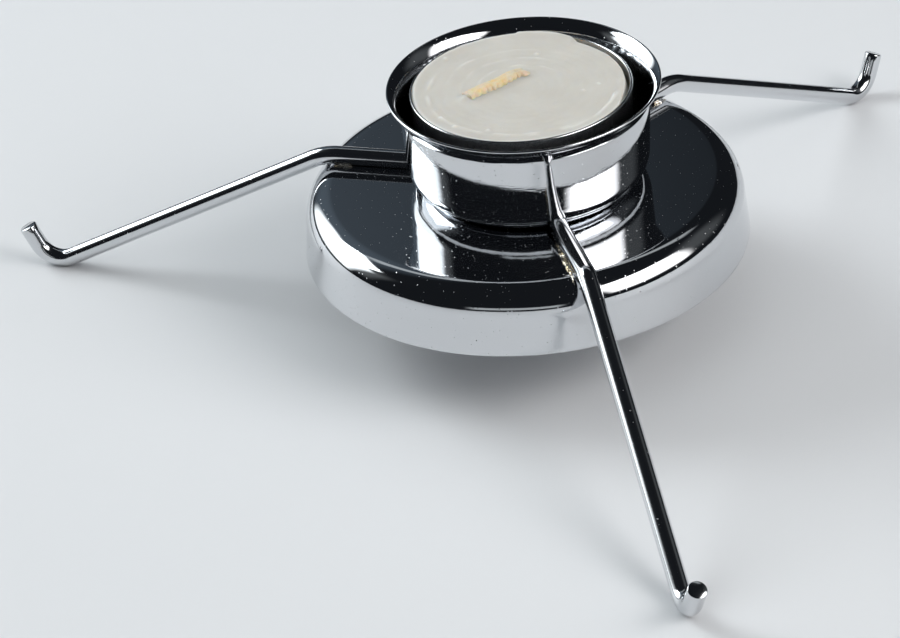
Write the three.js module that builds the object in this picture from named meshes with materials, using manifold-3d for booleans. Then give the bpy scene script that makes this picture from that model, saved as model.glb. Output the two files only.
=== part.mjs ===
// Tea light warmer: a shallow pressed dish carries a candle cup and stands on three bent wire legs.
// A tea light in its own metal case lifts out of the cup.
// Millimetres, +Z up. The table is the plane z = 0, and the front leg points along -Y.
import * as THREE from "three";
import { mergeVertices } from "three/addons/utils/BufferGeometryUtils.js";
import Module from "manifold-3d";

const wasm = await Module();
wasm.setup();

// Room left between pieces that sit in or against each other without a flat seat
const clearance = 0.3;

// Heat shield: the shallow dish, open below
const shieldTop = 25.8;
const shieldHeight = 11.8;
const shieldEdgeRadius = 38.6;
const shieldFlare = 0.7;
const shieldShoulder = 4.8;
const shieldSheet = 0.6;
// The dish was welded a little off the cup's axis
const shieldOffset = [-1.2, 0.3];

// Candle cup, standing on the dish. Its flared lip stands out from its wall, which narrows by its draft,
// in degrees, down to a well rounded bottom. The tea light has room in it
const cupHeight = 18.3;
const cupLipFlare = 1.95;
const cupLipAngle = 70;
const cupDraft = 1.5;
const cupBottomRound = 4.8;
const cupSheet = 0.5;
const roomRoundCase = 1.85;

// Wire legs. Radii of bends are those of the wire's centre line
const wireDiameter = 3.2;
const wireRadius = wireDiameter / 2;
// How much wider the wire's bend is than the rounded shoulder of the dish that it passes over
const legBendEase = 4.6;
const legBendRadius = shieldShoulder + wireRadius + legBendEase;
const footBendRadius = 4.6;
const tipLength = 3.9;
const tipAngle = 65;
// How far the wire is pressed flat at its weld on the dish, and worn flat under its foot
const weldFlat = 0.15;
const footFlat = 0.1;
// The legs were bent and welded by hand, so their directions, reaches and tips differ a little
const frontReach = 93.2;
const rightReach = 87.9;
const leftReach = 89.5;
// The front leg's bend over the dish came out sharper than the others, and was pushed this far aside
const frontBendRadius = 3.5;
const frontSway = 0.7;
const legs = [
  { name: "leg_front", azimuth: -90, reach: frontReach, tipLean: 6, round: frontBendRadius, sway: frontSway },
  { name: "leg_right", azimuth: 33.2, reach: rightReach, tipLean: 0, round: legBendRadius, sway: 0 },
  { name: "leg_left", azimuth: 152.4, reach: leftReach, tipLean: 0, round: legBendRadius, sway: 0 },
];

// Tea light case, loose in the cup and not quite centred
const caseOffset = [-0.4, 0.3];
const caseRadius = 18.8;
const caseHeight = 16.2;
const caseSheet = 0.3;
const caseBottomRound = 1.5;
const caseLipWidth = 0.2;
const caseLipHeight = 0.5;

// Wax, wick and the small tin foot that holds the wick
const waxBelowCaseLip = 0.3;
const sustainerRadius = 6.5;
const sustainerSheet = 0.3;
const sustainerNeckHeight = 3.5;
const sustainerNeckWall = 0.4;
const wickDiameter = 1.8;
const wickFoldRadius = 1.4;
// Where the wick leaves the wax, and where its folded end lies, from the tea light's axis
const wickRoot = [1.3, 4];
const wickEnd = [-9.8, -0.8];
const wickAboveWax = 0.2;

// How finely round shapes are cut into flat facets
const shieldSegments = 72;
const cupSegments = 64;
const caseSegments = 56;
const sustainerSegments = 32;
const wireSides = 12;
const wickSides = 8;
const sheetArcSteps = 6;
const bendSteps = 8;

const chrome = () => new THREE.MeshStandardMaterial({ color: 0xd4d7dc, metalness: 1, roughness: 0.06 });
const aluminium = () => new THREE.MeshStandardMaterial({ color: 0xc9cbcd, metalness: 1, roughness: 0.32 });
const tin = () => new THREE.MeshStandardMaterial({ color: 0xb2b4b6, metalness: 1, roughness: 0.4 });
const paraffin = () => new THREE.MeshStandardMaterial({ color: 0xcfcbc3, metalness: 0, roughness: 0.45 });
const cotton = () => new THREE.MeshStandardMaterial({ color: 0xdcc48c, metalness: 0, roughness: 0.8 });

const radians = THREE.MathUtils.degToRad;

// Merge shared vertices and drop the triangles that collapse on the axis, so that the mesh is closed
function weld(geometry) {
  const bare = geometry.clone();
  bare.deleteAttribute("normal");
  bare.deleteAttribute("uv");
  const merged = mergeVertices(bare);
  const old = merged.getIndex().array;
  const kept = [];
  for (let i = 0; i < old.length; i += 3) {
    const [a, b, c] = [old[i], old[i + 1], old[i + 2]];
    if (a !== b && b !== c && c !== a) kept.push(a, b, c);
  }
  merged.setIndex(kept);
  merged.clearGroups();
  return merged;
}

function toSolid(geometry) {
  const closed = weld(geometry);
  return new wasm.Manifold(
    new wasm.Mesh({
      numProp: 3,
      vertProperties: new Float32Array(closed.getAttribute("position").array),
      triVerts: new Uint32Array(closed.getIndex().array),
    }),
  );
}

function toGeometry(solid) {
  const mesh = solid.getMesh();
  const geometry = new THREE.BufferGeometry();
  geometry.setAttribute("position", new THREE.BufferAttribute(mesh.vertProperties, 3));
  geometry.setIndex(new THREE.BufferAttribute(mesh.triVerts, 1));
  return geometry;
}

function pieceMesh(name, geometry, material) {
  const finished = geometry.getAttribute("normal") ? weld(geometry) : geometry;
  finished.computeVertexNormals();
  const mesh = new THREE.Mesh(finished, material);
  mesh.name = name;
  return mesh;
}

// Points of an arc in a profile, from one angle to another in degrees
function arc(centreR, centreZ, radius, from, to) {
  const points = [];
  for (let i = 0; i <= sheetArcSteps; i += 1) {
    const angle = radians(from + ((to - from) * i) / sheetArcSteps);
    points.push([centreR + radius * Math.cos(angle), centreZ + radius * Math.sin(angle)]);
  }
  return points;
}

// A solid of revolution about Z, from a profile that runs counter-clockwise in radius and height
function turned(profile, segments) {
  const points = profile.map(([r, z]) => new THREE.Vector2(r, z));
  return new THREE.LatheGeometry(points, segments).rotateX(Math.PI / 2);
}

// A box given by its lowest and highest corners
function block(low, high) {
  const size = high.map((value, i) => value - low[i]);
  const middle = high.map((value, i) => (value + low[i]) / 2);
  return new THREE.BoxGeometry(...size).translate(...middle);
}

// A line of stations along straight runs, with a round bend at each inner corner
class BentPath extends THREE.Curve {
  constructor(corners, bendRadii) {
    super();
    this.stations = [corners[0]];
    bendRadii.forEach((radius, i) => this.addBend(corners[i], corners[i + 1], corners[i + 2], radius));
    this.stations.push(corners[corners.length - 1]);
  }

  addBend(before, corner, after, radius) {
    const back = before.clone().sub(corner).normalize();
    const ahead = after.clone().sub(corner).normalize();
    const half = back.angleTo(ahead) / 2;
    const inward = back.clone().add(ahead).normalize();
    const centre = corner.clone().addScaledVector(inward, radius / Math.sin(half));
    const start = corner.clone().addScaledVector(back, radius / Math.tan(half)).sub(centre);
    const axis = ahead.clone().cross(back).normalize();
    for (let i = 0; i <= bendSteps; i += 1) {
      const angle = ((Math.PI - 2 * half) * i) / bendSteps;
      this.stations.push(start.clone().applyAxisAngle(axis, angle).add(centre));
    }
  }

  get steps() {
    return this.stations.length - 1;
  }

  getPoint(t, target = new THREE.Vector3()) {
    const place = t * this.steps;
    const index = Math.min(Math.floor(place), this.steps - 1);
    return target.lerpVectors(this.stations[index], this.stations[index + 1], place - index);
  }

  getPointAt(u, target) {
    return this.getPoint(u, target);
  }

  // At a station the wire's section faces midway between the runs that meet there
  getTangentAt(u, target = new THREE.Vector3()) {
    const index = Math.round(u * this.steps);
    const next = this.stations[Math.min(index + 1, this.steps)];
    const here = this.stations[index];
    const last = this.stations[Math.max(index - 1, 0)];
    const ahead = next.clone().sub(here).normalize();
    const behind = here.clone().sub(last).normalize();
    return target.copy(ahead).add(behind).normalize();
  }
}

// A round rod along a bent path, with flats square to its first bend's plane
function rod(path, diameter, sides) {
  const section = new THREE.Shape();
  const cornerRadius = diameter / 2 / Math.cos(Math.PI / sides);
  for (let i = 0; i < sides; i += 1) {
    const angle = (2 * Math.PI * (i + 0.5)) / sides;
    const place = [cornerRadius * Math.cos(angle), cornerRadius * Math.sin(angle)];
    if (i === 0) section.moveTo(...place);
    else section.lineTo(...place);
  }
  section.closePath();
  return new THREE.ExtrudeGeometry(section, { steps: path.steps, extrudePath: path, bevelEnabled: false });
}

// The dish's flat top ends at this radius, and reaches no further than this from the cup's axis
const flatRadius = shieldEdgeRadius - shieldFlare - shieldShoulder;
const flatReach = flatRadius + Math.hypot(...shieldOffset);

function heatShield() {
  const shoulderZ = shieldTop - shieldShoulder;
  const edgeZ = shieldTop - shieldHeight;
  const profile = [
    [0, shieldTop - shieldSheet],
    ...arc(flatRadius, shoulderZ, shieldShoulder - shieldSheet, 90, 0),
    [shieldEdgeRadius - shieldSheet, edgeZ],
    [shieldEdgeRadius, edgeZ],
    ...arc(flatRadius, shoulderZ, shieldShoulder, 0, 90),
    [0, shieldTop],
  ];
  const mesh = pieceMesh("heat_shield", turned(profile, shieldSegments), chrome());
  mesh.position.set(...shieldOffset, 0);
  return mesh;
}

const cupRadius = caseRadius + caseLipWidth + roomRoundCase + cupSheet;
const draft = radians(cupDraft);

// The lip flares round a circle outside the wall, and the bottom rounds off about a circle inside it
const lipRadius = cupLipFlare / (1 - Math.cos(radians(cupLipAngle)));
const lipCentreR = cupRadius + lipRadius;
const lipCentreZ = shieldTop + cupHeight - (lipRadius + cupSheet) * Math.sin(radians(cupLipAngle));
const wallBottomZ = shieldTop + cupBottomRound * (1 - Math.sin(draft));
const wallHeight = lipCentreZ + lipRadius * Math.sin(draft) - wallBottomZ;
const wallBottomR = lipCentreR - lipRadius * Math.cos(draft) - wallHeight * Math.tan(draft);
const roundCentreR = wallBottomR - cupBottomRound * Math.cos(draft);
const roundCentreZ = shieldTop + cupBottomRound;

function candleCup() {
  const lipStart = 180 - cupDraft;
  const lipEnd = 180 - cupLipAngle;
  const profile = [
    [0, shieldTop],
    ...arc(roundCentreR, roundCentreZ, cupBottomRound, -90, -cupDraft),
    ...arc(lipCentreR, lipCentreZ, lipRadius, lipStart, lipEnd),
    ...arc(lipCentreR, lipCentreZ, lipRadius + cupSheet, lipEnd, lipStart),
    ...arc(roundCentreR, roundCentreZ, cupBottomRound - cupSheet, -cupDraft, -90),
    [0, shieldTop + cupSheet],
  ];
  return pieceMesh("candle_cup", turned(profile, cupSegments), chrome());
}

// How far out the cup's outside reaches at a height
function cupReachAt(z) {
  if (z > wallBottomZ) return wallBottomR + (z - wallBottomZ) * Math.tan(draft);
  return roundCentreR + Math.sqrt(cupBottomRound ** 2 - (roundCentreZ - z) ** 2);
}

// Slope of the straight run between two bends: the first turns down from level, the second turns back up
function slopeOfRun(firstCentre, firstRadius, secondCentre, secondRadius) {
  const apart = secondCentre.clone().sub(firstCentre);
  return Math.atan2(-apart.z, apart.x) + Math.asin((firstRadius + secondRadius) / apart.length());
}

// The corners of a leg's centre line, in a plane with x outward from the cup's axis. The wire starts at the
// cup and bends down where the dish's flat top ends. Its bend may sway and its tip may lean out of the plane.
function legCorners(reach, tipLean, sway) {
  const topZ = shieldTop + wireRadius - weldFlat;
  const bendCentre = new THREE.Vector3(flatReach, 0, topZ - legBendRadius);
  const footCentre = new THREE.Vector3(reach, 0, wireRadius - footFlat + footBendRadius);
  const slope = slopeOfRun(bendCentre, legBendRadius, footCentre, footBendRadius);
  const tip = radians(tipAngle);
  const lean = radians(tipLean);
  const footTangent = footBendRadius * Math.tan((slope + tip) / 2);
  const alongRun = new THREE.Vector3(Math.cos(slope), 0, -Math.sin(slope));
  const tipRise = Math.sin(tip);
  const alongTip = new THREE.Vector3(Math.cos(tip), tipRise * Math.sin(lean), tipRise * Math.cos(lean));
  const inner = new THREE.Vector3(cupReachAt(topZ + wireRadius) + clearance, 0, topZ);
  const bend = new THREE.Vector3(flatReach + legBendRadius * Math.tan(slope / 2), 0, topZ);
  const run = Math.sqrt(bend.distanceTo(footCentre) ** 2 - footBendRadius ** 2) + footTangent;
  const foot = bend.clone().addScaledVector(alongRun, run);
  const end = foot.clone().addScaledVector(alongTip, footTangent + tipLength);
  bend.setY(sway);
  return [inner, bend, foot, end];
}

// The wire is pressed flat against the dish as far out as halfway round its shoulder
function wireLeg({ name, azimuth, reach, tipLean, round, sway }) {
  const path = new BentPath(legCorners(reach, tipLean, sway), [round, footBendRadius]);
  const weldEnd = flatReach + shieldShoulder / 2;
  const belowWeld = block([0, -wireDiameter, 0], [weldEnd, wireDiameter, shieldTop]);
  const belowTable = block([0, -wireDiameter, -wireDiameter], [2 * reach, wireDiameter, 0]);
  const solid = toSolid(rod(path, wireDiameter, wireSides))
    .subtract(toSolid(belowWeld))
    .subtract(toSolid(belowTable));
  return pieceMesh(name, toGeometry(solid).rotateZ(radians(azimuth)), chrome());
}

// The case is wider than the cup's flat floor, so it stands this much above it, on the rounded bottom
function caseRise() {
  const room = cupBottomRound - cupSheet - caseBottomRound;
  const aside = caseRadius - caseBottomRound + Math.hypot(...caseOffset) - roundCentreR;
  return aside > 0 ? room - Math.sqrt((room - clearance) ** 2 - aside ** 2) : 0;
}

// Heights inside the tea light, worked out from where its case stands
const caseBottom = shieldTop + cupSheet + caseRise();
const caseFloor = caseBottom + caseSheet;
const waxTop = caseBottom + caseHeight - waxBelowCaseLip;
const wickBore = wickDiameter / 2 + clearance;
const neckRadius = wickBore + sustainerNeckWall;
const neckTop = caseFloor + sustainerNeckHeight;

function tealightCase() {
  const top = caseBottom + caseHeight;
  const bottomR = caseRadius - caseBottomRound;
  const bottomZ = caseBottom + caseBottomRound;
  const profile = [
    [0, caseBottom],
    ...arc(bottomR, bottomZ, caseBottomRound, -90, 0),
    [caseRadius, top - caseLipHeight],
    [caseRadius + caseLipWidth, top - caseLipHeight + caseLipWidth],
    [caseRadius + caseLipWidth, top],
    [caseRadius - caseSheet, top],
    ...arc(bottomR, bottomZ, caseBottomRound - caseSheet, 0, -90),
    [0, caseFloor],
  ];
  return pieceMesh("tealight_case", turned(profile, caseSegments), aluminium());
}

function wickSustainer() {
  const profile = [
    [0, caseFloor],
    [sustainerRadius, caseFloor],
    [sustainerRadius, caseFloor + sustainerSheet],
    [neckRadius, caseFloor + sustainerSheet],
    [neckRadius, neckTop],
    [wickBore, neckTop],
    [wickBore, caseFloor + sustainerSheet],
    [0, caseFloor + sustainerSheet],
  ];
  return pieceMesh("wick_sustainer", turned(profile, sustainerSegments), tin());
}

// The wick stands in the sustainer, leans through the wax and lies folded over on top of it
function wickPath() {
  const lying = waxTop + wickAboveWax;
  return new BentPath(
    [
      new THREE.Vector3(0, 0, caseFloor + sustainerSheet + clearance),
      new THREE.Vector3(0, 0, neckTop + wickDiameter),
      new THREE.Vector3(...wickRoot, lying),
      new THREE.Vector3(...wickEnd, lying),
    ],
    [2 * wickDiameter, wickFoldRadius],
  );
}

function wick() {
  return pieceMesh("wick", rod(wickPath(), wickDiameter, wickSides), cotton());
}

function wax() {
  const cornerRound = caseBottomRound - caseSheet - clearance;
  const bottom = caseFloor + clearance;
  const recessRadius = sustainerRadius + clearance;
  const recessTop = caseFloor + sustainerSheet + clearance;
  const neckHole = neckRadius + clearance;
  const profile = [
    [0, neckTop + clearance],
    [neckHole, neckTop + clearance],
    [neckHole, recessTop],
    [recessRadius, recessTop],
    [recessRadius, bottom],
    ...arc(caseRadius - caseBottomRound, caseBottom + caseBottomRound, cornerRound, -90, 0),
    [caseRadius - caseSheet - clearance, waxTop],
    [0, waxTop],
  ];
  const wickHole = rod(wickPath(), 2 * wickBore, wickSides);
  const solid = toSolid(turned(profile, caseSegments)).subtract(toSolid(wickHole));
  return pieceMesh("wax", toGeometry(solid), paraffin());
}

const tealight = new THREE.Group();
tealight.add(tealightCase(), wax(), wick(), wickSustainer());
tealight.position.set(...caseOffset, 0);

const warmer = new THREE.Group();
warmer.add(heatShield(), candleCup(), ...legs.map(wireLeg), tealight);

// The origin lies on the table, under the middle of the whole outline
const middle = new THREE.Box3().setFromObject(warmer, true).getCenter(new THREE.Vector3());
warmer.position.set(-middle.x, -middle.y, 0);

export default warmer;
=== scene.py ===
"""Looks of the tea light warmer: fine meshes, finishes, floor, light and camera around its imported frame."""

import math

import bmesh
import bpy
from mathutils import Matrix, Vector, noise


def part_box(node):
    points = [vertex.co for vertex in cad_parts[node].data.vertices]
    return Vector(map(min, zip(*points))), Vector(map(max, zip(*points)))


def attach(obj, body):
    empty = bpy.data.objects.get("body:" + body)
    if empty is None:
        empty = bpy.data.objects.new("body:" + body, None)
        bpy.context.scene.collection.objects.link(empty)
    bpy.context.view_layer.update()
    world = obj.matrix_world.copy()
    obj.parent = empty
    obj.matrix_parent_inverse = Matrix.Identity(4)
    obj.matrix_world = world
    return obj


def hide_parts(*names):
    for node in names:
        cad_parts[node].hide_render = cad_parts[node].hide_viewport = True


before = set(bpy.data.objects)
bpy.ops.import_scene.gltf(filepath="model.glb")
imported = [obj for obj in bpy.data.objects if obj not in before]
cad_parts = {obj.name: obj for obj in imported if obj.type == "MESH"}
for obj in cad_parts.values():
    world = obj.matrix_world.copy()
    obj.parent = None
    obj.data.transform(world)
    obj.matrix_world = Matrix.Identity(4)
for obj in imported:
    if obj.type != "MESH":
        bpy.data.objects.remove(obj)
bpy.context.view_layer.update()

# Sizes below are in millimetres, and places are given from the cup's axis on the table
MM = 0.001
# Points of a mesh closer than this, in metres, become one
MERGE_REACH = 1e-7

CAMERA_PLACE = (-108.07, -529.89, 345.42)
CAMERA_AIM = (-16.34, -0.34, 0.0)
CAMERA_ROLL = -5.313
CAMERA_LENS = 145.87
SENSOR_WIDTH = 36.0

# The lights' directions and spans are in degrees, as in towards(). Spills widen the softboxes softly,
# and the overhead light doesn't show in the chrome
SOFTBOX_DISTANCE = 1200
SPILL_FADE = 0.75
COOL = (0.93, 0.98, 1.0)
WARM = (1.0, 0.985, 0.98)
SOFTBOXES = {
    "right": {"azimuth": 63, "elevation": 31, "width": 55, "height": 40, "colour": WARM, "radiance": 2.2},
    "right_core": {"azimuth": 62, "elevation": 37, "width": 42, "height": 28, "colour": WARM,
                   "radiance": 4.0},
    "right_spill": {"azimuth": 104, "elevation": 30, "width": 44, "height": 44, "colour": COOL,
                    "radiance": 0.08, "fade": SPILL_FADE},
    "left": {"azimuth": -121, "elevation": 21, "width": 50, "height": 38, "colour": COOL, "radiance": 2.2},
    "left_core": {"azimuth": -121, "elevation": 34, "width": 32, "height": 28, "colour": COOL,
                  "radiance": 7.4},
    "left_spill": {"azimuth": -96, "elevation": 27, "width": 26, "height": 40, "colour": COOL,
                   "radiance": 0.13, "fade": SPILL_FADE},
    "back": {"azimuth": 180, "elevation": 55, "width": 60, "height": 8, "colour": COOL, "radiance": 0.45},
    "front": {"azimuth": -8, "elevation": 9, "width": 50, "height": 9, "colour": COOL, "radiance": 0.5},
    "overhead": {"azimuth": 0, "elevation": 88, "width": 100, "height": 100, "colour": COOL,
                 "radiance": 0.62, "mirrored": False},
}
ROOM_DARK = (0.010, 0.0115, 0.014)
ROOM_GLOW = (0.096, 0.121, 0.147)
GLOW_AZIMUTH = -148
GLOW_ELEVATION = 30
# The glow starts where a direction's cosine with its middle is this
GLOW_EDGE = 0.82

DISH_SHEET = 0.6
DISH_SHOULDER = 4.8
DISH_FLARE = 0.7
# How far the flat top falls towards its edge
DISH_FALL = 0.08
CUP_SHEET = 0.5
# The wall narrows more than the plain solid's and its lip starts lower, by less than 0.3 mm anywhere
CUP_DRAFT = 3.0
CUP_BOTTOM_ROUND = 4.8
CUP_LIP_FLARE = 1.95
CUP_LIP_ANGLE = 57
# Drawing marks on its wall: everywhere, and at most in patches, and how far out of round it is
CUP_MARKS = 0.0012
CUP_MARK_PATCHES = 0.025
CUP_OVAL = 0.05
WIRE_DIAMETER = 3.2
WIRE_BEND_RADIUS = 11.0
# How far a wire's end is sunk into the cup's wall at its weld
WIRE_END_SINK = 0.25
FOOT_BEND_RADIUS = 4.6
TIP_LENGTH = 3.9
TIP_ANGLE = 65
# The broken edge at a wire's tip: how far from its end, and the share of the wire's radius from there on
TIP_EDGE = [(0.2, 1.0), (0.06, 0.97), (0.0, 0.91)]
WELD_FLAT = 0.15
FOOT_FLAT = 0.1
# The front leg's bend over the dish came out sharper than the others, and was pushed aside by its sway
LEGS = {
    "front": {"azimuth": -90.0, "reach": 93.2, "lean": 6.0, "bend": 3.5, "sway": 0.7},
    "right": {"azimuth": 33.2, "reach": 87.9, "lean": 0.0, "bend": WIRE_BEND_RADIUS, "sway": 0.0},
    "left": {"azimuth": 152.4, "reach": 89.5, "lean": 0.0, "bend": WIRE_BEND_RADIUS, "sway": 0.0},
}
# Beads of metal squeezed out at the welds: which leg and side, and from where to where along it
WELD_BEADS = {
    "front_a": {"leg": "front", "side": -1, "start": 22.6, "end": 35.6, "size": 0.42},
    "front_b": {"leg": "front", "side": 1, "start": 28.5, "end": 34.5, "size": 0.25},
    "left_a": {"leg": "left", "side": 1, "start": 31.6, "end": 35.0, "size": 0.32},
    "left_b": {"leg": "left", "side": -1, "start": 30.5, "end": 34.0, "size": 0.28},
    "right_a": {"leg": "right", "side": 1, "start": 30.0, "end": 34.5, "size": 0.3},
    "right_b": {"leg": "right", "side": -1, "start": 31.0, "end": 34.0, "size": 0.3},
}
BEAD_STEP = 0.15
# How far from the wire's middle a bead lies, as a share of the wire's diameter, and above the dish
BEAD_ASIDE = 0.38
BEAD_RISE = 0.05
CASE_SHEET = 0.3
CASE_BOTTOM_ROUND = 1.5
CASE_RIM_WIDTH = 0.2
CASE_BEAD = 0.25
CASE_FLUTES = 96
CASE_FLUTE_DEPTH = 0.06

# Wick: its line on the wax, from the tea light's axis, and the round braid
WICK_LINE = [(1.3, 4.1), (-0.5, 3.9), (-3.7, 2.1), (-6.9, 0.8), (-9.7, -0.75)]
# From that line's start: how the wick comes up out of the wax, and where its dark knot is
WICK_ROOT = [(0.9, 0.3, -1.2), (0.75, 0.25, -0.5)]
WICK_KNOT = (-0.9, -0.2, 0)
WICK_HALF_WIDTH = 1.35
WICK_HALF_HEIGHT = 0.75
WICK_RISE = 0.24
WICK_STEP = 0.12
BRAID_PITCH = 1.5

# Wax: its room in the case, its edges, and where its top edge stands high or has shrunk away from the case
WAX_ROOM = 0.02
WAX_BOTTOM_EDGE = 1.2
WAX_EDGE_ROUND = 0.35
WAX_MENISCUS = 0.2
# How much paler its crests are painted for each mm of their height, partly as whiter wax and partly as a
# painted highlight, and how much paler its rim is painted as a painted highlight
WAX_CREST_WHITENESS_AND_HIGHLIGHT = 2.0
WAX_RIM_HIGHLIGHT = 0.35
# Where that painted highlight along the wax's rim lies and how wide it is, as shares of the wax's radius
WAX_RIM_HIGHLIGHT_PLACE = 0.985
WAX_RIM_HIGHLIGHT_WIDTH = 0.012
BACK_EDGE = {"azimuth": 115, "half": 42, "ease": 14, "rise": 0.45}
LUMP = {"azimuth": 62, "half": 15, "ease": 5, "rise": 0.75}
SHRUNK = {"azimuth": 8, "half": 34, "ease": 18, "gap": 0.75}
WAX_RINGS = [
    {"radius": 16.6, "azimuth": -57, "half": 30, "ease": 20, "rise": 0.22},
    {"radius": 16.0, "azimuth": -140, "half": 60, "ease": 30, "rise": 0.12},
    {"radius": 13.2, "azimuth": 95, "half": 40, "ease": 25, "rise": 0.1},
    {"radius": 10.4, "azimuth": 110, "half": 45, "ease": 25, "rise": 0.1},
    {"radius": 7.6, "azimuth": 100, "half": 55, "ease": 25, "rise": 0.1},
]
WAX_RING_WIDTH = 0.3
WAX_BUMPS = [(9.8, -4.7), (12.8, -3.3), (5.4, 10.6), (-10, 14), (-13.6, -9.1), (-8.6, -12.2), (-15.2, -5.5)]
WAX_BUMP_HEIGHT = 0.25
WAX_BUMP_WIDTH = 0.35
WAX_RIPPLE_HEIGHT = 0.02
WAX_RIPPLE_PITCH = 1.7


def middle_of(node):
    """The middle of a node's box, seen from above, in mm."""
    low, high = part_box(node)
    return (low + high) / 2 / MM


def level(node, top=True):
    """The height of a node's top or bottom, in mm."""
    low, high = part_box(node)
    return (high if top else low).z / MM


def half_width(node):
    low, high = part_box(node)
    return (high.x - low.x) / 2 / MM


CUP_AXIS = middle_of("candle_cup").to_2d()
DISH_AXIS = middle_of("heat_shield").to_2d()
CASE_AXIS = middle_of("tealight_case").to_2d()
DISH_TOP = level("heat_shield")


def from_cup(place):
    """A place given from the cup's axis, in mm, as a point of the frame in metres."""
    x, y, z = place
    return Vector((x + CUP_AXIS.x, y + CUP_AXIS.y, z)) * MM


def arc(centre, radius, start, end, steps=12):
    """Points of a profile's arc, with angles in degrees."""
    points = []
    for i in range(steps + 1):
        angle = math.radians(start + (end - start) * i / steps)
        points.append((centre[0] + radius * math.cos(angle), centre[1] + radius * math.sin(angle)))
    return points


def mesh_object(name, points, faces, sharp=40):
    """A mesh object from points in mm, shaded smooth but for edges sharper than an angle."""
    mesh = bpy.data.meshes.new(name)
    mesh.from_pydata([Vector(p) * MM for p in points], [], faces)
    mesh.validate()
    made = bmesh.new()
    made.from_mesh(mesh)
    bmesh.ops.remove_doubles(made, verts=made.verts, dist=MERGE_REACH)
    bmesh.ops.recalc_face_normals(made, faces=made.faces)
    made.to_mesh(mesh)
    made.free()
    mesh.shade_smooth()
    mesh.set_sharp_from_angle(angle=math.radians(sharp))
    thing = bpy.data.objects.new(name, mesh)
    bpy.context.scene.collection.objects.link(thing)
    return thing


def waves(point, size, depth, seed=0.0):
    """Gentle unevenness in mm, with hills about as far apart as size."""
    return depth * noise.noise(point / size + Vector((seed, seed, seed)))


def outward(point):
    """The level direction away from the axis."""
    return Vector((point.x, point.y, 0)).normalized()


def lathe(name, profile, axis, segments, shape):
    """A closed profile of (radius, height) points turned about a vertical axis. shape moves each point."""
    points = []
    for i in range(segments):
        turn = 2 * math.pi * i / segments
        for radius, height in profile:
            point = Vector((radius * math.cos(turn), radius * math.sin(turn), height))
            points.append(shape(point) + axis.to_3d())
    count = len(profile)
    faces = []
    for i in range(segments):
        here, following = i * count, (i + 1) % segments * count
        for j in range(count - 1):
            faces.append((here + j, following + j, following + j + 1, here + j + 1))
    return mesh_object(name, points, faces)


def run_of(start, end, count):
    """Points of a profile along a straight run, both ends left out."""
    return [(start[0] + (end[0] - start[0]) * k / count, start[1] + (end[1] - start[1]) * k / count)
            for k in range(1, count)]


def dress(piece, node, body, material):
    """Put a fine piece in a node's place, on its body, with its finish."""
    piece.data.materials.append(material)
    if node:
        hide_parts(node)
    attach(piece, body)


# Finishes


def add_node(tree, kind, inputs=None, **settings):
    """A node with its settings and inputs. An input is a value, or another node's socket to link."""
    made = tree.nodes.new(kind)
    for key, value in settings.items():
        setattr(made, key, value)
    for key, value in (inputs or {}).items():
        if isinstance(value, bpy.types.NodeSocket):
            tree.links.new(value, made.inputs[key])
        else:
            made.inputs[key].default_value = value
    return made


def start_material(name, **values):
    """A material with its shader's plain values set, and the object's own coordinates."""
    material = bpy.data.materials.new(name)
    material.use_nodes = True
    tree = material.node_tree
    shader = tree.nodes["Principled BSDF"]
    for key, value in values.items():
        shader.inputs[key.replace("_", " ")].default_value = value
    where = add_node(tree, "ShaderNodeTexCoord").outputs["Object"]
    return material, tree, shader, where


def math_node(tree, operation, a, b):
    return add_node(tree, "ShaderNodeMath", {0: a, 1: b}, operation=operation).outputs[0]


def grain(tree, where, size, detail=2.0, stretch=None):
    """Noise from 0 to 1 whose lumps are about as large as size, in mm."""
    if stretch:
        where = add_node(tree, "ShaderNodeMapping", {"Vector": where, "Scale": stretch}).outputs[0]
    inputs = {"Vector": where, "Scale": 1 / (size * MM), "Detail": detail}
    return add_node(tree, "ShaderNodeTexNoise", inputs).outputs["Fac"]


def spots(tree, where, spacing, radius, share):
    """Small round spots, 1 in the middle and 0 outside, in a share of the cells of a random pattern."""
    inputs = {"Vector": where, "Scale": 1 / (spacing * MM)}
    cells = add_node(tree, "ShaderNodeTexVoronoi", inputs)
    reach = {"Value": cells.outputs["Distance"], "From Min": 0.0, "From Max": radius / spacing, "To Min": 1.0}
    spot = add_node(tree, "ShaderNodeMapRange", {**reach, "To Max": 0.0}, interpolation_type="SMOOTHSTEP")
    chance = add_node(tree, "ShaderNodeSeparateColor", {"Color": cells.outputs["Color"]}).outputs["Red"]
    chosen = math_node(tree, "LESS_THAN", chance, share)
    return math_node(tree, "MULTIPLY", spot.outputs["Result"], chosen)


def height_sum(tree, parts):
    """Heights in mm times patterns from 0 to 1, added up in metres."""
    total = None
    for pattern, height in parts:
        term = math_node(tree, "MULTIPLY", pattern, height * MM)
        total = term if total is None else math_node(tree, "ADD", total, term)
    return total


def bump(tree, shader, parts):
    inputs = {"Height": height_sum(tree, parts), "Distance": 1.0, "Strength": 1.0}
    raised = add_node(tree, "ShaderNodeBump", inputs)
    tree.links.new(raised.outputs["Normal"], shader.inputs["Normal"])


def between(tree, pattern, low, high):
    """A pattern from 0 to 1, spread between two values."""
    inputs = {"Value": pattern, "To Min": low, "To Max": high}
    return add_node(tree, "ShaderNodeMapRange", inputs).outputs["Result"]


def mixed(tree, pattern, first, second):
    """A colour between two, by a pattern from 0 to 1. The first may be another node's socket."""
    if not isinstance(first, bpy.types.NodeSocket):
        first = (*first, 1.0)
    inputs = {0: pattern, 6: first, 7: (*second, 1.0)}
    return add_node(tree, "ShaderNodeMix", inputs, data_type="RGBA").outputs[2]


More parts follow.
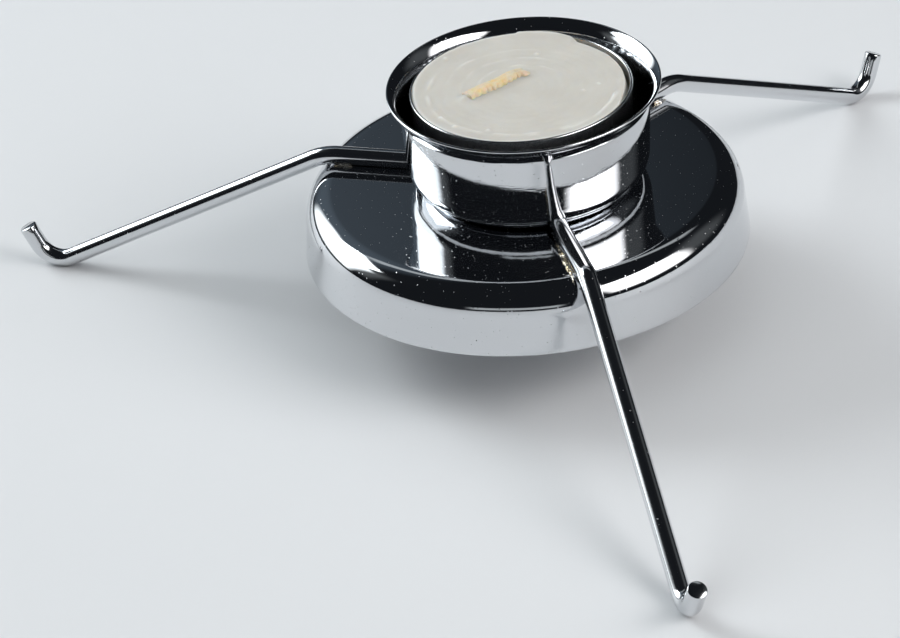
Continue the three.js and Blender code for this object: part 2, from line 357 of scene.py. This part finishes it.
def chrome(name, dull, wave=0.0006, wave_size=6.0, specks=0.3, streaks=0.0):
    """Bright plate: a polish between two roughnesses, faint orange peel and smears, specks of dust and pits.

    streaks is the height in mm of short level drawing marks, which come in patches.
    """
    material, tree, shader, where = start_material(name, Metallic=1.0)
    speck = spots(tree, where, spacing=0.85, radius=0.15, share=specks)
    pit = spots(tree, where, spacing=3.1, radius=0.2, share=0.4)
    smear = grain(tree, where, size=12.0, detail=4.0)
    colour = mixed(tree, pit, (0.66, 0.672, 0.69), (0.33, 0.31, 0.29))
    tree.links.new(colour, shader.inputs["Base Color"])
    dusty = math_node(tree, "MULTIPLY", speck, 0.5)
    rough = math_node(tree, "ADD", between(tree, smear, *dull), math_node(tree, "MAXIMUM", dusty, pit))
    tree.links.new(rough, shader.inputs["Roughness"])
    parts = [(grain(tree, where, wave_size), wave), (grain(tree, where, 0.6), 0.00008)]
    parts += [(speck, 0.02), (pit, -0.015)]
    if streaks:
        patch = between(tree, grain(tree, where, 9.0), -1.6, 2.4)
        patch = math_node(tree, "MAXIMUM", patch, 0.0)
        streak = grain(tree, where, 1.5, 2.0, stretch=(1.0, 1.0, 4.0))
        parts.append((math_node(tree, "MULTIPLY", patch, streak), streaks))
    bump(tree, shader, parts)
    return material


def weld_metal():
    """Metal squeezed out at a weld: plated over, rough, with straw-coloured patches from the heat."""
    material, tree, shader, where = start_material("weld_metal", Metallic=1.0)
    heat = grain(tree, where, 1.6, 2.0)
    tint = between(tree, heat, -0.6, 1.6)
    tree.links.new(mixed(tree, tint, (0.80, 0.79, 0.76), (0.62, 0.47, 0.24)), shader.inputs["Base Color"])
    tree.links.new(between(tree, grain(tree, where, 0.5), 0.12, 0.3), shader.inputs["Roughness"])
    bump(tree, shader, [(grain(tree, where, 0.35, 3.0), 0.05)])
    return material


def plain_metal(name, colour, low, high, size):
    """Thin rolled sheet, softly bright, with fine grain and small dents."""
    material, tree, shader, where = start_material(name, Metallic=1.0)
    grained = grain(tree, where, size, 3.0)
    darker = tuple(0.8 * c for c in colour)
    tree.links.new(mixed(tree, grained, darker, colour), shader.inputs["Base Color"])
    tree.links.new(between(tree, grained, low, high), shader.inputs["Roughness"])
    bump(tree, shader, [(grain(tree, where, 3.0), 0.02), (grained, 0.002)])
    return material


def paraffin():
    """Clouded white wax: light sinks into it, its skin is satin, with specks and soft ripples. Its crests are
    painted lighter, partly whiter wax and partly a painted highlight, and its rim is lighter as a painted
    highlight.
    """
    material, tree, shader, where = start_material(
        "paraffin", Subsurface_Weight=0.6, Subsurface_Scale=0.002, IOR=1.43
    )
    shader.inputs["Subsurface Radius"].default_value = (1.0, 0.8, 0.6)
    cloud = grain(tree, where, 6.0, 4.0)
    speck = spots(tree, where, spacing=1.9, radius=0.2, share=0.3)
    plain = mixed(tree, cloud, (0.56, 0.53, 0.48), (0.66, 0.64, 0.59))
    # The crest attribute lightens the colour: on the crests partly whiter wax and partly a painted highlight,
    # and along the rim a painted highlight
    crest = add_node(tree, "ShaderNodeAttribute", attribute_name="crest").outputs["Fac"]
    pale = math_node(tree, "MAXIMUM", crest, math_node(tree, "MULTIPLY", speck, 0.5))
    colour = mixed(tree, pale, plain, (0.88, 0.87, 0.84))
    tree.links.new(colour, shader.inputs["Base Color"])
    rough = math_node(tree, "ADD", between(tree, cloud, 0.3, 0.46), math_node(tree, "MULTIPLY", speck, -0.2))
    tree.links.new(rough, shader.inputs["Roughness"])
    parts = [(cloud, 0.12), (grain(tree, where, 0.8), 0.02), (speck, 0.06)]
    bump(tree, shader, parts)
    return material


def cotton():
    """Braided cotton soaked in wax: golden where the threads show, pale where wax covers them."""
    material, tree, shader, where = start_material("cotton", Subsurface_Weight=0.5, Subsurface_Scale=0.001)
    coat = grain(tree, where, 1.4, 3.0)
    threads = mixed(tree, between(tree, coat, -0.4, 1.4), (0.80, 0.58, 0.24), (0.72, 0.67, 0.55))
    end = add_node(tree, "ShaderNodeAttribute", attribute_name="waxed").outputs["Fac"]
    knot = add_node(tree, "ShaderNodeAttribute", attribute_name="charred").outputs["Fac"]
    waxed = mixed(tree, end, threads, (0.66, 0.63, 0.56))
    colour = mixed(tree, knot, waxed, (0.42, 0.28, 0.19))
    tree.links.new(colour, shader.inputs["Base Color"])
    tree.links.new(between(tree, coat, 0.6, 0.35), shader.inputs["Roughness"])
    bump(tree, shader, [(grain(tree, where, 0.25), 0.06)])
    return material


def floor_finish():
    material, tree, shader, where = start_material("floor_finish", IOR=1.3)
    cloud = grain(tree, where, 120.0, 3.0)
    tree.links.new(mixed(tree, cloud, (0.70, 0.71, 0.725), (0.73, 0.735, 0.745)), shader.inputs["Base Color"])
    tree.links.new(between(tree, grain(tree, where, 5.0), 0.5, 0.6), shader.inputs["Roughness"])
    return material


# Pressed sheet


def dish_flat():
    """Radius at which the dish's flat top ends."""
    return half_width("heat_shield") - DISH_FLARE - DISH_SHOULDER


def dish():
    """The shallow pressed dish: flat top, round shoulder, slightly flared skirt with a rounded edge."""
    edge_radius = half_width("heat_shield")
    edge = level("heat_shield", top=False)
    flat = dish_flat()
    shoulder = (flat, DISH_TOP - DISH_SHOULDER)
    half = DISH_SHEET / 2
    skirt_in = (flat + DISH_SHOULDER - DISH_SHEET, shoulder[1])
    skirt_out = (flat + DISH_SHOULDER, shoulder[1])
    edge_in = (edge_radius - DISH_SHEET, edge + half)
    edge_out = (edge_radius, edge + half)
    profile = [(0, DISH_TOP - DISH_SHEET)]
    profile += run_of((0, DISH_TOP - DISH_SHEET), (flat, DISH_TOP - DISH_SHEET), 12)
    profile += arc(shoulder, DISH_SHOULDER - DISH_SHEET, 90, 0, 24)
    profile += run_of(skirt_in, edge_in, 6)
    profile += arc((edge_radius - half, edge + half), half, 180, 360, 10)
    profile += run_of(edge_out, skirt_out, 10)
    profile += arc(shoulder, DISH_SHOULDER, 0, 90, 40)
    profile += run_of((flat, DISH_TOP), (0, DISH_TOP), 36)
    profile += [(0, DISH_TOP)]

    def pressed(point):
        radius = point.to_2d().length
        point.z -= DISH_FALL * min(radius / flat, 1) ** 4
        point.z += waves(point, 16, 0.03) + waves(point, 5, 0.003)
        if radius > flat:
            side = min((radius - flat) / DISH_SHOULDER, 1)
            point += outward(point) * side * (waves(point, 9, 0.05, 3) + waves(point, 3.5, 0.01, 5))
        return point

    return lathe("dish", profile, DISH_AXIS, 360, pressed)


def cup_circles():
    """The circle that the cup's lip flares round, centre and radius, and the centre of its bottom's round."""
    draft = math.radians(CUP_DRAFT)
    lip_angle = math.radians(CUP_LIP_ANGLE)
    lip_radius = CUP_LIP_FLARE / (1 - math.cos(lip_angle))
    lip_r = half_width("candle_cup") - CUP_LIP_FLARE + lip_radius
    lip_z = level("candle_cup") - (lip_radius + CUP_SHEET) * math.sin(lip_angle)
    wall_bottom = DISH_TOP + CUP_BOTTOM_ROUND * (1 - math.sin(draft))
    wall_height = lip_z + lip_radius * math.sin(draft) - wall_bottom
    wall_r = lip_r - lip_radius * math.cos(draft) - wall_height * math.tan(draft)
    bottom_r = wall_r - CUP_BOTTOM_ROUND * math.cos(draft)
    return (lip_r, lip_z), lip_radius, (bottom_r, DISH_TOP + CUP_BOTTOM_ROUND)


def cup():
    """The deep pressed cup: well rounded bottom, drafted wall, lip flared out to a thin round edge."""
    lip, outside, corner = cup_circles()
    inside = outside + CUP_SHEET
    lip_end = 180 - CUP_LIP_ANGLE
    lip_start = 180 - CUP_DRAFT
    lip_edge = arc(lip, (outside + inside) / 2, lip_end, lip_end, 1)[0]
    low_out = arc(corner, CUP_BOTTOM_ROUND, -90, -CUP_DRAFT, 28)
    high_out = arc(lip, outside, lip_start, lip_end, 28)
    high_in = arc(lip, inside, lip_end, lip_start, 28)
    low_in = arc(corner, CUP_BOTTOM_ROUND - CUP_SHEET, -CUP_DRAFT, -90, 20)
    profile = [(0, DISH_TOP)] + low_out + run_of(low_out[-1], high_out[0], 24) + high_out
    profile += arc(lip_edge, CUP_SHEET / 2, lip_end - 180, lip_end, 8)[1:-1]
    profile += high_in + run_of(high_in[-1], low_in[0], 24) + low_in
    profile += [(0, DISH_TOP + CUP_SHEET)]

    def drawn(point):
        """Drawing marks: fine ripples that run round the wall, stronger here and there, and a slight oval."""
        if point.z > DISH_TOP + CUP_SHEET:
            stretched = Vector((point.x, point.y, 3.5 * point.z))
            strength = CUP_MARKS + max(0.0, waves(point, 14, CUP_MARK_PATCHES, 8))
            point += outward(point) * (waves(stretched, 2.8, strength, 2) + waves(point, 22, CUP_OVAL, 4))
        return point

    return lathe("cup", profile, CUP_AXIS, 480, drawn)


# Wire legs


def bent_line(corners, radii, bend_steps=24):
    """Points along straight runs with a round bend at each inner corner."""
    points = [corners[0]]
    for before, corner, after, radius in zip(corners, corners[1:], corners[2:], radii):
        back = (before - corner).normalized()
        ahead = (after - corner).normalized()
        half = back.angle(ahead) / 2
        centre = corner + (back + ahead).normalized() * radius / math.sin(half)
        start = corner + back * radius / math.tan(half) - centre
        turn_axis = ahead.cross(back)
        for i in range(bend_steps + 1):
            turn = Matrix.Rotation((math.pi - 2 * half) * i / bend_steps, 3, turn_axis)
            points.append(centre + turn @ start)
    points.append(corners[-1])
    return points


def spread(points, longest):
    """The same line with its long runs cut into shorter ones."""
    line = [points[0]]
    for a, b in zip(points, points[1:]):
        count = max(1, math.ceil((b - a).length / longest))
        line += [a.lerp(b, i / count) for i in range(1, count + 1)]
    return line


def tube_points(line, radius_at, side, sides):
    """Rings of points round a line. side starts the ring's direction, and is carried along without twist."""
    rings = []
    for i, place in enumerate(line):
        ahead = (line[min(i + 1, len(line) - 1)] - line[max(i - 1, 0)]).normalized()
        side = (side - ahead * side.dot(ahead)).normalized()
        up = ahead.cross(side)
        ring = []
        for k in range(sides):
            angle = 2 * math.pi * k / sides
            reach = radius_at(i, angle)
            ring.append(place + side * reach * math.cos(angle) + up * reach * math.sin(angle))
        rings.append(ring)
    return rings


def skin(rings):
    """Points and faces of a tube closed at both ends."""
    points = [p for ring in rings for p in ring]
    sides = len(rings[0])
    faces = [tuple(range(sides))[::-1], tuple(range(len(points) - sides, len(points)))]
    for i in range(len(rings) - 1):
        for k in range(sides):
            a, b = i * sides + k, i * sides + (k + 1) % sides
            faces.append((a, b, b + sides, a + sides))
    return points, faces


def leg_corners(reach, lean, sway):
    """Corners of a leg's centre line, in a plane with x outward from the cup's axis."""
    wire = WIRE_DIAMETER / 2
    flat_reach = dish_flat() + (DISH_AXIS - CUP_AXIS).length
    top = DISH_TOP + wire - WELD_FLAT
    bend_centre = Vector((flat_reach, 0, top - WIRE_BEND_RADIUS))
    foot_centre = Vector((reach, 0, wire - FOOT_FLAT + FOOT_BEND_RADIUS))
    apart = foot_centre - bend_centre
    slope = math.atan2(-apart.z, apart.x) + math.asin((WIRE_BEND_RADIUS + FOOT_BEND_RADIUS) / apart.length)
    tip, leaning = math.radians(TIP_ANGLE), math.radians(lean)
    along_run = Vector((math.cos(slope), 0, -math.sin(slope)))
    rise = Vector((0, math.sin(leaning), math.cos(leaning))) * math.sin(tip)
    along_tip = Vector((math.cos(tip), 0, 0)) + rise
    foot_tangent = FOOT_BEND_RADIUS * math.tan((slope + tip) / 2)
    _, _, corner = cup_circles()
    drop = corner[1] - (top + wire)
    wall = corner[0] + math.sqrt(CUP_BOTTOM_ROUND ** 2 - drop ** 2)
    inner = Vector((wall - WIRE_END_SINK, 0, top))
    bend = Vector((flat_reach + WIRE_BEND_RADIUS * math.tan(slope / 2), 0, top))
    run = math.sqrt((foot_centre - bend).length_squared - FOOT_BEND_RADIUS ** 2) + foot_tangent
    foot = bend + along_run * run
    end = foot + along_tip * (foot_tangent + TIP_LENGTH)
    bend.y = sway
    return [inner, bend, foot, end], flat_reach


def wire(name, azimuth, reach, lean, bend, sway, sides=40):
    """One bent wire leg, flat where it lies on the dish and under its foot, with its tip's edge broken."""
    corners, flat_reach = leg_corners(reach, lean, sway)
    line = spread(bent_line(corners, [bend, FOOT_BEND_RADIUS]), 1.5)
    ahead = (line[-1] - line[-2]).normalized()
    end = line.pop()
    edge = {}
    for back, share in TIP_EDGE:
        edge[len(line)] = share
        line.append(end - ahead * back)

    def radius_at(i, angle):
        return WIRE_DIAMETER / 2 * edge.get(i, 1.0)

    points, faces = skin(tube_points(line, radius_at, Vector((0, 1, 0)), sides))
    turn = Matrix.Rotation(math.radians(azimuth), 3, "Z")
    placed = []
    for point in points:
        lowest = DISH_TOP if point.x < flat_reach + DISH_SHOULDER / 2 else 0.0
        point.z = max(point.z, lowest)
        placed.append(turn @ point + CUP_AXIS.to_3d())
    return mesh_object(name, placed, faces, sharp=50)


def dish_height(x, y):
    """Height of the dish's upper face at a place from the cup's axis."""
    radius = (Vector((x, y)) + CUP_AXIS - DISH_AXIS).length
    past = radius - dish_flat()
    if past <= 0:
        return DISH_TOP
    return DISH_TOP - DISH_SHOULDER + math.sqrt(max(DISH_SHOULDER ** 2 - past ** 2, 0))


def weld_bead(name, leg, side, start, end, size):
    """A lumpy bead beside a leg, low on the dish, thick and thin by turns and pinched out at its ends."""
    azimuth = math.radians(LEGS[leg]["azimuth"])
    along = Vector((math.cos(azimuth), math.sin(azimuth)))
    across = Vector((-along.y, along.x)) * side
    seed = 10.0 * (list(WELD_BEADS).index(name) + 1)
    count = round((end - start) / BEAD_STEP)
    line = []
    for i in range(count + 1):
        reach = start + (end - start) * i / count
        wander = waves(Vector((reach, 0, 0)), 1.7, 0.2, seed)
        place = along * reach + across * (WIRE_DIAMETER * BEAD_ASIDE + wander)
        line.append(Vector((*place, dish_height(*place) + BEAD_RISE)))

    def radius_at(i, angle):
        pinch = math.sin(math.pi * min(i, count - i) / count) ** 0.5
        spot = Vector((line[i].x, line[i].y, angle * 0.4))
        lumps = 0.75 + waves(spot, 0.9, 0.8, seed) + waves(spot, 0.4, 0.3, seed)
        return max(size * pinch * lumps, 0.02)

    points, faces = skin(tube_points(line, radius_at, across.to_3d(), 14))
    shift = CUP_AXIS.to_3d()
    return mesh_object("weld_" + name, [point + shift for point in points], faces)


# Tea light


def case():
    """The thin drawn case: fluted wall, and a small rolled bead round its rim."""
    top = level("tealight_case")
    bottom = level("tealight_case", top=False)
    radius = half_width("tealight_case") - CASE_RIM_WIDTH
    inner = radius - CASE_SHEET
    corner = (radius - CASE_BOTTOM_ROUND, bottom + CASE_BOTTOM_ROUND)
    bead = (inner + CASE_BEAD, top - CASE_BEAD)
    wall_top = top - 2 * CASE_BEAD
    profile = [(0, bottom)]
    profile += arc(corner, CASE_BOTTOM_ROUND, -90, 0)
    profile += run_of((radius, corner[1]), (radius, wall_top), 12)
    profile += [(radius, wall_top)]
    profile += arc(bead, CASE_BEAD, -40, 180, 14)
    profile += run_of((inner, wall_top), (inner, corner[1]), 12)
    profile += arc(corner, CASE_BOTTOM_ROUND - CASE_SHEET, 0, -90)
    profile += [(0, bottom + CASE_SHEET)]

    def fluted(point):
        height = min((point.z - corner[1]) / 2, (wall_top - point.z) / 2, 1)
        if height > 0:
            flute = CASE_FLUTE_DEPTH * math.cos(CASE_FLUTES * math.atan2(point.y, point.x))
            point += outward(point) * height * (flute - CASE_FLUTE_DEPTH)
        return point

    return lathe("case_shell", profile, CASE_AXIS, 768, fluted)


def share_near(azimuth, place):
    """1 within half of a place's azimuth, easing to 0 beyond it."""
    off = abs((azimuth - place["azimuth"] + 180) % 360 - 180)
    share = min(max((place["half"] + place["ease"] - off) / place["ease"], 0), 1)
    return share * share * (3 - 2 * share)


def hump(place, centre, width):
    return math.exp(-(((place - centre).length / width) ** 2))


def distance_to_line(place, line):
    """How far a place is from a line of points, seen from above."""
    best = math.inf
    for a, b in zip(line, line[1:]):
        along = min(max((place - a).dot(b - a) / (b - a).length_squared, 0), 1)
        best = min(best, (place - a.lerp(b, along)).length)
    return best


def wax_crest(place):
    """How high broken rings and small bumps stand over the wax, at a place from the tea light's axis."""
    azimuth = math.degrees(math.atan2(place.y, place.x))
    flat = Vector((place.x, place.y, 0))
    crest = 0.0
    for ring in WAX_RINGS:
        off = (place.length - ring["radius"] - waves(flat, 9, 0.5, 6)) / WAX_RING_WIDTH
        broken = max(0.0, 0.7 + waves(flat, 2.5, 1.6, 4))
        crest += ring["rise"] * math.exp(-(off ** 2)) * share_near(azimuth, ring) * broken
    for speck in WAX_BUMPS:
        crest += WAX_BUMP_HEIGHT * hump(place, Vector(speck), WAX_BUMP_WIDTH)
    return crest


def wax_rise(point, radius_share):
    """How far the wax's skin stands over its CAD top: swells, a rim, broken rings, and wax along the wick."""
    place = point.to_2d()
    azimuth = math.degrees(math.atan2(place.y, place.x))
    flat = Vector((place.x, place.y, 0))
    rise = waves(flat, 7, 0.12, 1) + waves(flat, 2.4, 0.06, 2) + waves(flat, 0.9, 0.03, 3) + wax_crest(place)
    edge = max(0.0, (radius_share - 0.9) / 0.1)
    rise += edge ** 2 * WAX_MENISCUS
    high = BACK_EDGE["rise"] * share_near(azimuth, BACK_EDGE)
    high = max(high, LUMP["rise"] * share_near(azimuth, LUMP))
    rise += max(0.0, (radius_share - 0.84) / 0.16) ** 1.5 * high
    turn = 2 * math.pi * place.length / WAX_RIPPLE_PITCH
    rise += WAX_RIPPLE_HEIGHT * math.sin(turn + waves(flat, 8, 2.0, 5))
    line = [Vector(p) for p in WICK_LINE]
    rise += 0.4 * math.exp(-((distance_to_line(place, line) / 1.5) ** 2))
    rise += 0.45 * hump(place, line[0] + Vector((0.5, 0.4)), 1.3) + 0.4 * hump(place, line[-1], 1.0)
    return rise


def wax():
    """The wax: rounded edge, shrunk away from the case on one side, with an uneven skin."""
    top = level("wax")
    bottom = level("wax", top=False)
    radius = half_width("tealight_case") - CASE_RIM_WIDTH - CASE_SHEET - WAX_ROOM
    rounding = WAX_EDGE_ROUND
    profile = [(0, bottom), (radius - WAX_BOTTOM_EDGE, bottom), (radius, bottom + WAX_BOTTOM_EDGE)]
    profile += [(radius, top - 3)]
    profile += arc((radius - rounding, top - rounding), rounding, 0, 90, 8)
    profile += run_of((radius - rounding, top), (0, top), 84)
    profile += [(0, top)]

    def skinned(point):
        share = point.to_2d().length / radius
        azimuth = math.degrees(math.atan2(point.y, point.x))
        if point.z > top - 1:
            rise = wax_rise(point, share)
            shrink = SHRUNK["gap"] * share_near(azimuth, SHRUNK) * share ** 8
            point -= outward(point) * shrink
            point.z += rise
        return point

    thing = lathe("wax_fill", profile, CASE_AXIS, 420, skinned)
    # Lightening for the material: on the crests partly whiter wax and partly a painted highlight, and along
    # the rim a painted highlight
    values = thing.data.attributes.new("crest", "FLOAT", "POINT").data
    for vertex, value in zip(thing.data.vertices, values):
        place = vertex.co.to_2d() / MM - CASE_AXIS
        # A thin ring near the wax's edge is painted paler: a painted highlight for the light its rounded rim
        # catches
        rim = math.exp(-(((place.length / radius - WAX_RIM_HIGHLIGHT_PLACE) / WAX_RIM_HIGHLIGHT_WIDTH) ** 2))
        paler = WAX_CREST_WHITENESS_AND_HIGHLIGHT * wax_crest(place) + WAX_RIM_HIGHLIGHT * rim
        value.value = min(1.0, paler) if vertex.co.z > (top - 1) * MM else 0.0
    return thing


def smooth_line(places, height, steps=14):
    """A smooth line through places seen from above, at one height."""
    ends = [2 * places[0] - places[1]] + places + [2 * places[-1] - places[-2]]
    line = []
    for before, start, end, after in zip(ends, ends[1:], ends[2:], ends[3:]):
        for i in range(steps):
            t = i / steps
            square = 2 * before - 5 * start + 4 * end - after
            cube = 3 * start - before - 3 * end + after
            place = 0.5 * (2 * start + (end - before) * t + square * t ** 2 + cube * t ** 3)
            line.append(Vector((*place, height)))
    line.append(Vector((*places[-1], height)))
    return line


def wick():
    """The braided wick, folded over on the wax: strands that cross over each other, on a flattened round."""
    lying = level("wax") + WICK_RISE
    line = smooth_line([Vector(p) for p in WICK_LINE], lying)
    root = line[0]
    line = [root + Vector(below) for below in WICK_ROOT] + line
    line = spread(line, WICK_STEP)
    count = len(line) - 1

    def radius_at(i, angle):
        pitch = math.pi * i * WICK_STEP / BRAID_PITCH
        strands = max(abs(math.cos(pitch + angle)), abs(math.cos(pitch - angle)))
        width = math.hypot(WICK_HALF_WIDTH * math.cos(angle), WICK_HALF_HEIGHT * math.sin(angle))
        taper = min(1.0, 0.55 + 0.25 * (count - i))
        fuzz = waves(Vector((i * WICK_STEP, angle, 0)), 0.5, 0.05)
        return width * taper * (0.8 + 0.2 * strands + fuzz)

    points, faces = skin(tube_points(line, radius_at, Vector((0.4, -1, 0)), 28))
    shift = CASE_AXIS.to_3d()
    thing = mesh_object("wick_braid", [point + shift for point in points], faces)
    mark_near(thing, "waxed", [line[-1] + shift, root + shift], reach=1.5, most=0.85)
    mark_near(thing, "charred", [root + Vector(WICK_KNOT) + shift], reach=0.9, most=0.6)
    return thing


def mark_near(thing, name, places, reach, most):
    """Mark a mesh's points near some places, for its material to read: at most there, fading over a reach."""
    values = thing.data.attributes.new(name, "FLOAT", "POINT").data
    for vertex, value in zip(thing.data.vertices, values):
        off = min((vertex.co / MM - place).length for place in places)
        value.value = most * math.exp(-((off / reach) ** 2))


# Studio


def floor():
    size = 3000
    points = [(-size, -size, 0), (size, -size, 0), (size, size, 0), (-size, size, 0)]
    thing = mesh_object("floor", points, [(0, 1, 2, 3)])
    thing.data.materials.append(floor_finish())


def towards(azimuth, elevation):
    """A direction: degrees to the right of the camera's, seen from above, and degrees above the table."""
    turn = math.atan2(CAMERA_PLACE[1], CAMERA_PLACE[0]) + math.radians(azimuth)
    rise = math.radians(elevation)
    return Vector((math.cos(turn) * math.cos(rise), math.sin(turn) * math.cos(rise), math.sin(rise)))


def fade_edges(light, fade):
    """Let a softbox fade out towards its edges, over a share of its half width and half height."""
    light.use_nodes = True
    tree = light.node_tree
    place = add_node(tree, "ShaderNodeNewGeometry").outputs["Parametric"]
    split = add_node(tree, "ShaderNodeSeparateXYZ", {"Vector": place})
    strength = 1.0
    for side in ("X", "Y"):
        off = math_node(tree, "ABSOLUTE", math_node(tree, "SUBTRACT", split.outputs[side], 0.5), 0.0)
        inputs = {"Value": off, "From Min": 0.5 * (1 - fade), "From Max": 0.5, "To Min": 1.0, "To Max": 0.0}
        share = add_node(tree, "ShaderNodeMapRange", inputs, interpolation_type="SMOOTHSTEP")
        strength = math_node(tree, "MULTIPLY", share.outputs["Result"], strength)
    tree.links.new(strength, tree.nodes["Emission"].inputs["Strength"])


def softbox(name, azimuth, elevation, width, height, radiance, colour, fade=0.3, mirrored=True):
    """A rectangular light facing the cup, as wide and as high as given in degrees seen from there."""
    light = bpy.data.lights.new(name, "AREA")
    fade_edges(light, fade)
    light.shape = "RECTANGLE"
    light.size = 2 * SOFTBOX_DISTANCE * MM * math.tan(math.radians(width / 2))
    light.size_y = 2 * SOFTBOX_DISTANCE * MM * math.tan(math.radians(height / 2))
    light.energy = radiance * math.pi * light.size * light.size_y
    light.color = colour
    thing = bpy.data.objects.new(name, light)
    thing.visible_glossy = mirrored
    out = towards(azimuth, elevation)
    thing.location = from_cup((0, 0, DISH_TOP)) + out * SOFTBOX_DISTANCE * MM
    thing.rotation_mode = "QUATERNION"
    thing.rotation_quaternion = (-out).to_track_quat("-Z", "Y")
    bpy.context.scene.collection.objects.link(thing)


def room():
    """Dark surroundings with a dim glow behind the left of the table, beside the softbox."""
    world = bpy.data.worlds.new("room")
    world.use_nodes = True
    tree = world.node_tree
    where = add_node(tree, "ShaderNodeTexCoord").outputs["Generated"]
    inputs = {0: where, 1: towards(GLOW_AZIMUTH, GLOW_ELEVATION)}
    nearness = add_node(tree, "ShaderNodeVectorMath", inputs, operation="DOT_PRODUCT").outputs["Value"]
    inputs = {"Value": nearness, "From Min": GLOW_EDGE, "From Max": 1.0}
    glow = add_node(tree, "ShaderNodeMapRange", inputs, interpolation_type="SMOOTHSTEP").outputs["Result"]
    tree.links.new(mixed(tree, glow, ROOM_DARK, ROOM_GLOW), tree.nodes["Background"].inputs["Color"])
    bpy.context.scene.world = world


def studio():
    floor()
    for name, facts in SOFTBOXES.items():
        softbox("softbox_" + name, **facts)
    room()
    bpy.context.scene.view_settings.view_transform = "Standard"


def camera():
    lens = bpy.data.cameras.new("camera")
    lens.lens = CAMERA_LENS
    lens.sensor_width = SENSOR_WIDTH
    thing = bpy.data.objects.new("camera", lens)
    thing.location = from_cup(CAMERA_PLACE)
    aim = from_cup(CAMERA_AIM) - thing.location
    level_view = aim.to_track_quat("-Z", "Y").to_matrix()
    roll = Matrix.Rotation(math.radians(CAMERA_ROLL), 3, "Z")
    thing.rotation_euler = (level_view @ roll).to_euler()
    bpy.context.scene.collection.objects.link(thing)
    bpy.context.scene.camera = thing


camera()
studio()
dish_chrome = chrome("dish_chrome", (0.02, 0.09), specks=0.7, streaks=0.002)
cup_chrome = chrome("cup_chrome", (0.02, 0.08), streaks=0.018)
wire_chrome = chrome("wire_chrome", (0.08, 0.15), wave=0.0004, wave_size=5.0, specks=0.15)
dress(dish(), "heat_shield", "stand", dish_chrome)
dress(cup(), "candle_cup", "stand", cup_chrome)
for side, facts in LEGS.items():
    dress(wire("wire_" + side, **facts), "leg_" + side, "stand", wire_chrome)
weld_finish = weld_metal()
for place, facts in WELD_BEADS.items():
    dress(weld_bead(place, **facts), None, "stand", weld_finish)
foil = plain_metal("foil", (0.8, 0.81, 0.82), 0.15, 0.3, 0.6)
dress(case(), "tealight_case", "tealight", foil)
dress(wax(), "wax", "tealight", paraffin())
dress(wick(), "wick", "tealight", cotton())
tin_sheet = plain_metal("tin_sheet", (0.62, 0.63, 0.64), 0.25, 0.45, 0.5)
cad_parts["wick_sustainer"].data.materials.clear()
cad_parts["wick_sustainer"].data.materials.append(tin_sheet)
